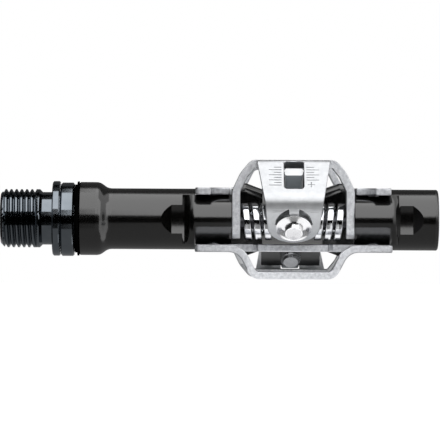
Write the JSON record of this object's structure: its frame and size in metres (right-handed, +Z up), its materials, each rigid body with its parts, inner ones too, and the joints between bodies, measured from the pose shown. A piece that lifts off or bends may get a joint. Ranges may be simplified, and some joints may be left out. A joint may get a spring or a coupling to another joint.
{
  "type": "clipless bicycle pedal",
  "caption": "Double-sided clipless pedal with a threaded spindle, turned black body, steel cages and spring-loaded rear claws on both faces.",
  "frame": {"origin": "centre of the crank-side shoulder face, on the spindle's axis", "axes": "+X outboard along the spindle, +Y forward on the upper face, +Z up, out of the upper face"},
  "size_m": [0.1069, 0.053, 0.0288],
  "materials": {
    "dark_steel": "polished, blackened chrome-molybdenum steel",
    "bearing_steel": "ground",
    "ball_steel": "mirror polished",
    "retainer_brass": "plain",
    "black_body": "satin black anodised",
    "seal_rubber": "matte",
    "bushing_polymer": "matte",
    "cap_plastic": "satin",
    "cage_steel": "zinc plated, satin",
    "screw_steel": "black oxide",
    "claw_steel": "nickel plated, satin",
    "spring_steel": "polished",
    "bolt_chrome": "polished",
    "nut_black": "black oxide",
    "indicator_steel": "bright"
  },
  "bodies": {
    "spindle": {"spindle": "dark_steel", "spindle_collar": "dark_steel", "bearing_inner_race": "bearing_steel", "lock_washer": "bearing_steel", "lock_nut": "bearing_steel"},
    "pedal_body": {"pedal_body": "black_body", "inboard_seal": "seal_rubber", "inboard_bushing": "bushing_polymer", "bearing_outer_race": "bearing_steel", "bearing_shields": "bearing_steel", "end_cap": "cap_plastic", "end_cap_oring": "seal_rubber", "upper_cage": "cage_steel", "upper_cage_screws": "screw_steel", "upper_pivot_pin": "bearing_steel", "upper_spring_inboard": "spring_steel", "upper_spring_outboard": "spring_steel", "lower_cage": "cage_steel", "lower_cage_screws": "screw_steel", "lower_pivot_pin": "bearing_steel", "lower_spring_inboard": "spring_steel", "lower_spring_outboard": "spring_steel"},
    "bearing_cage": {"bearing_cage": "retainer_brass", "bearing_balls": "ball_steel"},
    "upper_claw": {"upper_claw": "claw_steel"},
    "upper_tension_bolt": {"upper_tension_bolt": "bolt_chrome"},
    "upper_tension_nut": {"upper_tension_nut": "nut_black", "upper_tension_indicator": "indicator_steel"},
    "lower_claw": {"lower_claw": "claw_steel"},
    "lower_tension_bolt": {"lower_tension_bolt": "bolt_chrome"},
    "lower_tension_nut": {"lower_tension_nut": "nut_black", "lower_tension_indicator": "indicator_steel"}
  },
  "joints": [
    {"name": "body_spin", "type": "hinge", "parent": "spindle", "child": "pedal_body", "pos_m": [0.0585, 0, 0], "axis": [1, 0, 0], "continuous": true},
    {"name": "bearing_cage_spin", "type": "hinge", "parent": "spindle", "child": "bearing_cage", "pos_m": [0.0844, 0, 0], "axis": [1, 0, 0], "continuous": true},
    {"name": "upper_claw_open", "type": "hinge", "parent": "pedal_body", "child": "upper_claw", "pos_m": [0.0585, -0.013, -0.0005], "axis": [1, 0, 0], "range_deg": [0, 18], "stiffness_Nm_per_rad": 3, "springref_deg": -20.05, "deforming": ["upper_spring_inboard", "upper_spring_outboard"]},
    {"name": "upper_tension_bolt_turn", "type": "hinge", "parent": "upper_claw", "child": "upper_tension_bolt", "pos_m": [0.0585, -0.02217, -0.00175], "axis": [0, 0.7071, 0.7071], "range_deg": [-360, 1350]},
    {"name": "upper_tension_nut_slide", "type": "slide", "parent": "upper_claw", "child": "upper_tension_nut", "axis": [0, 0.7071, 0.7071], "range_m": [-0.003, 0.0008], "deforming": ["upper_spring_inboard", "upper_spring_outboard"]},
    {"name": "lower_claw_open", "type": "hinge", "parent": "pedal_body", "child": "lower_claw", "pos_m": [0.0585, 0.013, 0.0005], "axis": [1, 0, 0], "range_deg": [0, 18], "stiffness_Nm_per_rad": 3, "springref_deg": -20.05, "deforming": ["lower_spring_inboard", "lower_spring_outboard"]},
    {"name": "lower_tension_bolt_turn", "type": "hinge", "parent": "lower_claw", "child": "lower_tension_bolt", "pos_m": [0.0585, 0.02217, 0.00175], "axis": [0, -0.7071, -0.7071], "range_deg": [-360, 1350]},
    {"name": "lower_tension_nut_slide", "type": "slide", "parent": "lower_claw", "child": "lower_tension_nut", "axis": [0, -0.7071, -0.7071], "range_m": [-0.003, 0.0008], "deforming": ["lower_spring_inboard", "lower_spring_outboard"]}
  ],
  "couplings": [
    {"joint": "bearing_cage_spin", "follows": "body_spin", "ratio": 0.5994},
    {"joint": "upper_tension_bolt_turn", "follows": "upper_tension_nut_slide", "rad_per_m": -7853.9},
    {"joint": "lower_tension_bolt_turn", "follows": "lower_tension_nut_slide", "rad_per_m": -7853.9}
  ]
}
